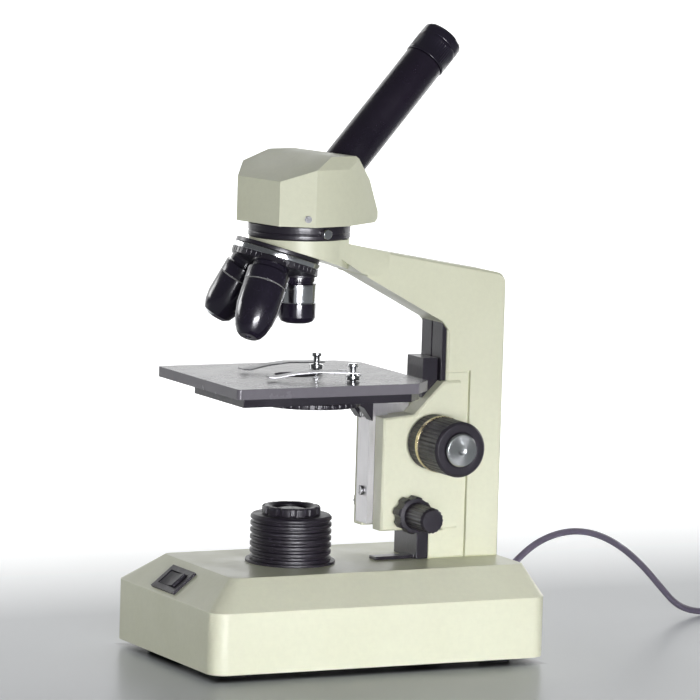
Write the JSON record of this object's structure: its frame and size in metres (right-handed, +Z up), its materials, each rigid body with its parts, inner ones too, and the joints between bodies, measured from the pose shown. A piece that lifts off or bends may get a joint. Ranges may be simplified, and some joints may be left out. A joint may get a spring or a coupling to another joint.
{
  "type": "compound microscope",
  "caption": "Monocular compound microscope: heavy base with lamp and switch, arm, focusing stage, turning nosepiece and inclined eyepiece head.",
  "frame": {"origin": "centre of the base's footprint, on the bench under the feet", "axes": "+X from the switch end of the base to the arm, +Y to the left side, +Z up"},
  "size_m": [0.4658, 0.138, 0.3676],
  "materials": {
    "cream_paint": "semi-gloss cast-metal enamel",
    "black_paint": "satin black",
    "black_plastic": "fine-textured black",
    "gloss_black": "polished black",
    "chrome": "polished",
    "steel": "ground",
    "brass": "satin gold anodised look",
    "aluminium": "turned",
    "stage_metal": "satin dark enamel",
    "rubber": "matt",
    "glass": "coated lens",
    "frosted": "frosted",
    "bulb_glass": "clear",
    "ceramic": "lamp holder",
    "cord": "grey pvc",
    "matte_cord": "moulded pvc"
  },
  "bodies": {
    "base": {"base_housing": "cream_paint", "base_bottom_plate": "black_paint", "rubber_feet": "rubber", "bottom_plate_screws": "steel", "switch_bezel": "black_plastic", "lamp_flange": "black_plastic", "lamp_housing": "black_plastic", "lamp_socket": "ceramic", "lamp_bulb": "bulb_glass", "arm": "cream_paint", "arm_bolts": "steel", "foot_cover": "black_paint", "guide_strip": "black_paint", "nosepiece_mount": "black_paint", "nosepiece_screw": "steel", "head_collar": "black_paint", "head_lock_screw": "chrome", "strain_relief": "rubber", "power_cord": "cord", "cord_coil": "cord", "plug_body": "matte_cord", "plug_blades": "steel"},
    "switch": {"switch_rocker": "gloss_black"},
    "filter_holder": {"filter_ring": "black_plastic", "collector_lens": "frosted"},
    "fine_carriage": {"focus_block": "cream_paint", "slide_stop": "black_paint", "coarse_tension_washers": "black_plastic"},
    "fine_knobs": {"fine_shaft": "steel", "fine_knob_right": "black_plastic", "fine_knob_left": "black_plastic"},
    "coarse_knobs": {"coarse_pinion_shaft": "steel", "coarse_knob_right": "black_plastic", "coarse_knob_left": "black_plastic", "coarse_knob_rings": "brass", "coarse_knob_caps": "aluminium"},
    "stage": {"stage_slide": "steel", "stage_plate": "stage_metal", "stage_under_plate": "black_paint", "stage_bracket": "black_paint", "stage_screws": "steel", "diaphragm_pivot": "steel"},
    "diaphragm": {"disc_diaphragm": "black_paint"},
    "clip_right": {"clip_post_right": "chrome", "clip_leaf_right": "steel"},
    "clip_left": {"clip_post_left": "chrome", "clip_leaf_left": "steel"},
    "nosepiece": {"nosepiece_turret": "black_plastic", "nosepiece_ring": "chrome", "objective_4x": "gloss_black", "objective_10x": "gloss_black", "objective_40x": "gloss_black", "objective_lenses": "glass"},
    "head": {"head_housing": "cream_paint", "prism": "glass", "eyepiece_tube": "black_paint", "head_screws": "steel"},
    "eyepiece": {"eyepiece": "gloss_black", "eye_lens": "glass", "field_lens": "glass"}
  },
  "joints": [
    {"name": "switch_rock", "type": "hinge", "parent": "base", "child": "switch", "pos_m": [-0.09723, 0.006, 0.0452], "axis": [0.779, 0, 0.627], "range_deg": [0, 12]},
    {"name": "filter_lift", "type": "slide", "parent": "base", "child": "filter_holder", "axis": [0, 0, 1], "range_m": [0, 0.005]},
    {"name": "fine_turn", "type": "hinge", "parent": "fine_carriage", "child": "fine_knobs", "pos_m": [0.0395, 0, 0.084], "axis": [0, 1, 0], "range_deg": [-720, 720]},
    {"name": "fine_lift", "type": "slide", "parent": "base", "child": "fine_carriage", "axis": [0, 0, 1], "range_m": [-0.0008, 0.0008]},
    {"name": "coarse_lift", "type": "slide", "parent": "fine_carriage", "child": "stage", "axis": [0, 0, 1], "range_m": [-0.009, 0.009]},
    {"name": "coarse_turn", "type": "hinge", "parent": "fine_carriage", "child": "coarse_knobs", "pos_m": [0.053, 0, 0.126], "axis": [0, 1, 0], "range_deg": [-90, 90]},
    {"name": "diaphragm_turn", "type": "hinge", "parent": "stage", "child": "diaphragm", "pos_m": [-0.0275, -0.019, 0.1525], "axis": [0, 0, 1], "continuous": true},
    {"name": "clip_right_swing", "type": "hinge", "parent": "stage", "child": "clip_right", "pos_m": [-0.007, -0.0335, 0.166], "axis": [0, 0, 1], "range_deg": [-12, 60]},
    {"name": "clip_left_swing", "type": "hinge", "parent": "stage", "child": "clip_left", "pos_m": [-0.005, 0.018, 0.166], "axis": [0, 0, 1], "range_deg": [-60, 10]},
    {"name": "nosepiece_turn", "type": "hinge", "parent": "base", "child": "nosepiece", "pos_m": [-0.0275, 0, 0.282], "axis": [-0.2924, 0, -0.9563], "continuous": true},
    {"name": "head_swivel", "type": "hinge", "parent": "base", "child": "head", "pos_m": [-0.0275, 0, 0.25], "axis": [0, 0, 1], "continuous": true},
    {"name": "eyepiece_draw", "type": "slide", "parent": "head", "child": "eyepiece", "axis": [0.6917, 0.147, 0.7071], "range_m": [0, 0.013]}
  ],
  "couplings": [
    {"joint": "coarse_turn", "follows": "coarse_lift", "rad_per_m": 166.67},
    {"joint": "fine_turn", "follows": "fine_lift", "rad_per_m": -15700}
  ]
}
